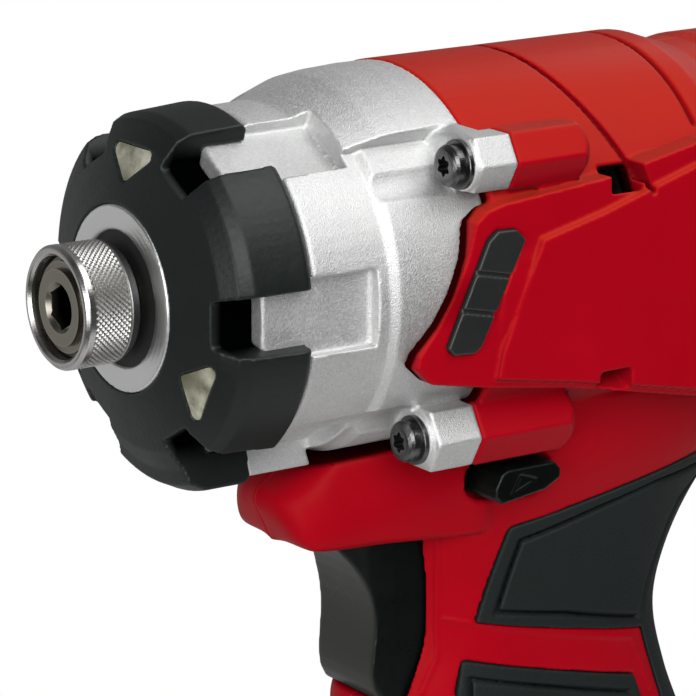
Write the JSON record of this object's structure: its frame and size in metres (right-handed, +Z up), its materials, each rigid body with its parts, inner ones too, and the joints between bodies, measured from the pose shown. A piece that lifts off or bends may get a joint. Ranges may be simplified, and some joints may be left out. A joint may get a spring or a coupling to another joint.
{
  "type": "cordless impact driver",
  "caption": "Cordless impact driver with a clamshell body, cast hammer case, lobed nose bumper, quick-change hex chuck, trigger, direction selector and slide-on battery pack.",
  "frame": {"origin": "middle of the battery pack's base, on the surface that the tool stands on", "axes": "-X along the spindle towards the chuck, +Z up from the base, +Y to the tool's right-hand side"},
  "size_m": [0.157, 0.074, 0.2214],
  "materials": {
    "red_plastic": "satin moulded",
    "cast_aluminium": "blasted casting",
    "black_bumper": "satin",
    "clear_lens": "clear moulded",
    "green_board": "lacquered",
    "seal_rubber": "matte",
    "black_screw": "black oxide",
    "grip_rubber": "matte grained",
    "black_plastic": "moulded",
    "trigger_plastic": "polished",
    "sleeve_steel": "nickel plated",
    "dark_steel": "phosphated",
    "bright_steel": "ground",
    "spring_steel": "drawn wire",
    "bearing_bronze": "sintered",
    "copper": "turned",
    "brass": "turned",
    "magnet": "sintered",
    "carbon": "pressed",
    "cell_wrap": "shrink sleeve",
    "release_red": "moulded"
  },
  "bodies": {
    "housing": {"left_housing": "red_plastic", "right_housing": "red_plastic", "hammer_case": "cast_aluminium", "nose_bumper": "black_bumper", "lamp_lenses": "clear_lens", "lamp_board": "green_board", "nose_seal": "seal_rubber", "case_screws": "black_screw", "housing_screws": "black_screw", "left_side_pad": "black_plastic", "right_side_pad": "black_plastic", "left_upper_grip": "grip_rubber", "right_upper_grip": "grip_rubber", "left_lower_grip": "grip_rubber", "right_lower_grip": "grip_rubber", "nose_bush": "bearing_bronze", "thrust_washer": "dark_steel", "ring_gear": "dark_steel", "gear_plate": "cast_aluminium", "motor_can": "bright_steel", "motor_magnets": "magnet", "motor_cap": "black_plastic", "carbon_brushes": "carbon", "front_bearing": "bright_steel", "rear_bearing": "bright_steel", "trigger_switch": "black_plastic", "trigger_spring": "spring_steel", "terminal_block": "black_plastic", "terminal_blades": "brass", "clip_nuts": "brass"},
    "output_anvil": {"anvil": "dark_steel", "locking_balls": "bright_steel", "chuck_washer": "dark_steel", "retaining_ring": "dark_steel", "sleeve_spring": "spring_steel"},
    "chuck_sleeve": {"chuck_sleeve": "sleeve_steel"},
    "cam_carrier": {"cam_shaft": "bright_steel", "planet_pins": "bright_steel", "cam_balls": "bright_steel", "hammer_spring": "spring_steel", "spring_washer": "bright_steel"},
    "hammer": {"hammer": "dark_steel"},
    "planet_1": {"planet_gear_1": "bright_steel"},
    "planet_2": {"planet_gear_2": "bright_steel"},
    "planet_3": {"planet_gear_3": "bright_steel"},
    "rotor": {"rotor_core": "dark_steel", "motor_shaft": "bright_steel", "commutator": "copper", "cooling_fan": "black_plastic", "sun_gear": "bright_steel"},
    "trigger": {"trigger": "trigger_plastic"},
    "direction_selector": {"direction_selector": "trigger_plastic"},
    "battery": {"battery_top": "black_plastic", "battery_tub": "black_plastic", "battery_cells": "cell_wrap", "battery_contacts": "black_plastic", "battery_screws": "black_screw", "release_spring": "spring_steel"},
    "release_button": {"release_button": "release_red"}
  },
  "joints": [
    {"name": "rotor_spin", "type": "hinge", "parent": "housing", "child": "rotor", "pos_m": [0, 0, 0.1884], "axis": [1, 0, 0], "continuous": true},
    {"name": "carrier_spin", "type": "hinge", "parent": "housing", "child": "cam_carrier", "pos_m": [0, 0, 0.1884], "axis": [1, 0, 0], "continuous": true},
    {"name": "anvil_spin", "type": "hinge", "parent": "housing", "child": "output_anvil", "pos_m": [0, 0, 0.1884], "axis": [1, 0, 0], "continuous": true},
    {"name": "planet_1_spin", "type": "hinge", "parent": "cam_carrier", "child": "planet_1", "pos_m": [-0.0257, 0.0135, 0.1884], "axis": [1, 0, 0], "continuous": true},
    {"name": "planet_2_spin", "type": "hinge", "parent": "cam_carrier", "child": "planet_2", "pos_m": [-0.0257, -0.00675, 0.20009], "axis": [1, 0, 0], "continuous": true},
    {"name": "planet_3_spin", "type": "hinge", "parent": "cam_carrier", "child": "planet_3", "pos_m": [-0.0257, -0.00675, 0.17671], "axis": [1, 0, 0], "continuous": true},
    {"name": "hammer_slide", "type": "slide", "parent": "cam_carrier", "child": "hammer", "axis": [1, 0, 0], "range_m": [0, 0.0065], "stiffness_N_per_m": 4000, "springref_m": -0.006, "deforming": ["hammer_spring"]},
    {"name": "sleeve_slide", "type": "slide", "parent": "output_anvil", "child": "chuck_sleeve", "axis": [-1, 0, 0], "range_m": [0, 0.003], "stiffness_N_per_m": 600, "springref_m": -0.004, "deforming": ["sleeve_spring"]},
    {"name": "trigger_slide", "type": "slide", "parent": "housing", "child": "trigger", "axis": [1, 0, 0], "range_m": [0, 0.0065], "stiffness_N_per_m": 500, "springref_m": -0.005, "deforming": ["trigger_spring"]},
    {"name": "selector_slide", "type": "slide", "parent": "housing", "child": "direction_selector", "axis": [0, 1, 0], "range_m": [0, 0.005]},
    {"name": "battery_slide", "type": "slide", "parent": "housing", "child": "battery", "axis": [-1, 0, 0], "range_m": [0, 0.1]},
    {"name": "release_press", "type": "slide", "parent": "battery", "child": "release_button", "axis": [0, 0, -1], "range_m": [0, 0.0045], "stiffness_N_per_m": 500, "springref_m": -0.004, "deforming": ["release_spring"]}
  ],
  "couplings": [
    {"joint": "carrier_spin", "follows": "rotor_spin", "ratio": 0.2},
    {"joint": "anvil_spin", "follows": "rotor_spin", "ratio": 0.2},
    {"joint": "planet_1_spin", "follows": "rotor_spin", "ratio": -0.53333},
    {"joint": "planet_2_spin", "follows": "rotor_spin", "ratio": -0.53333},
    {"joint": "planet_3_spin", "follows": "rotor_spin", "ratio": -0.53333}
  ]
}
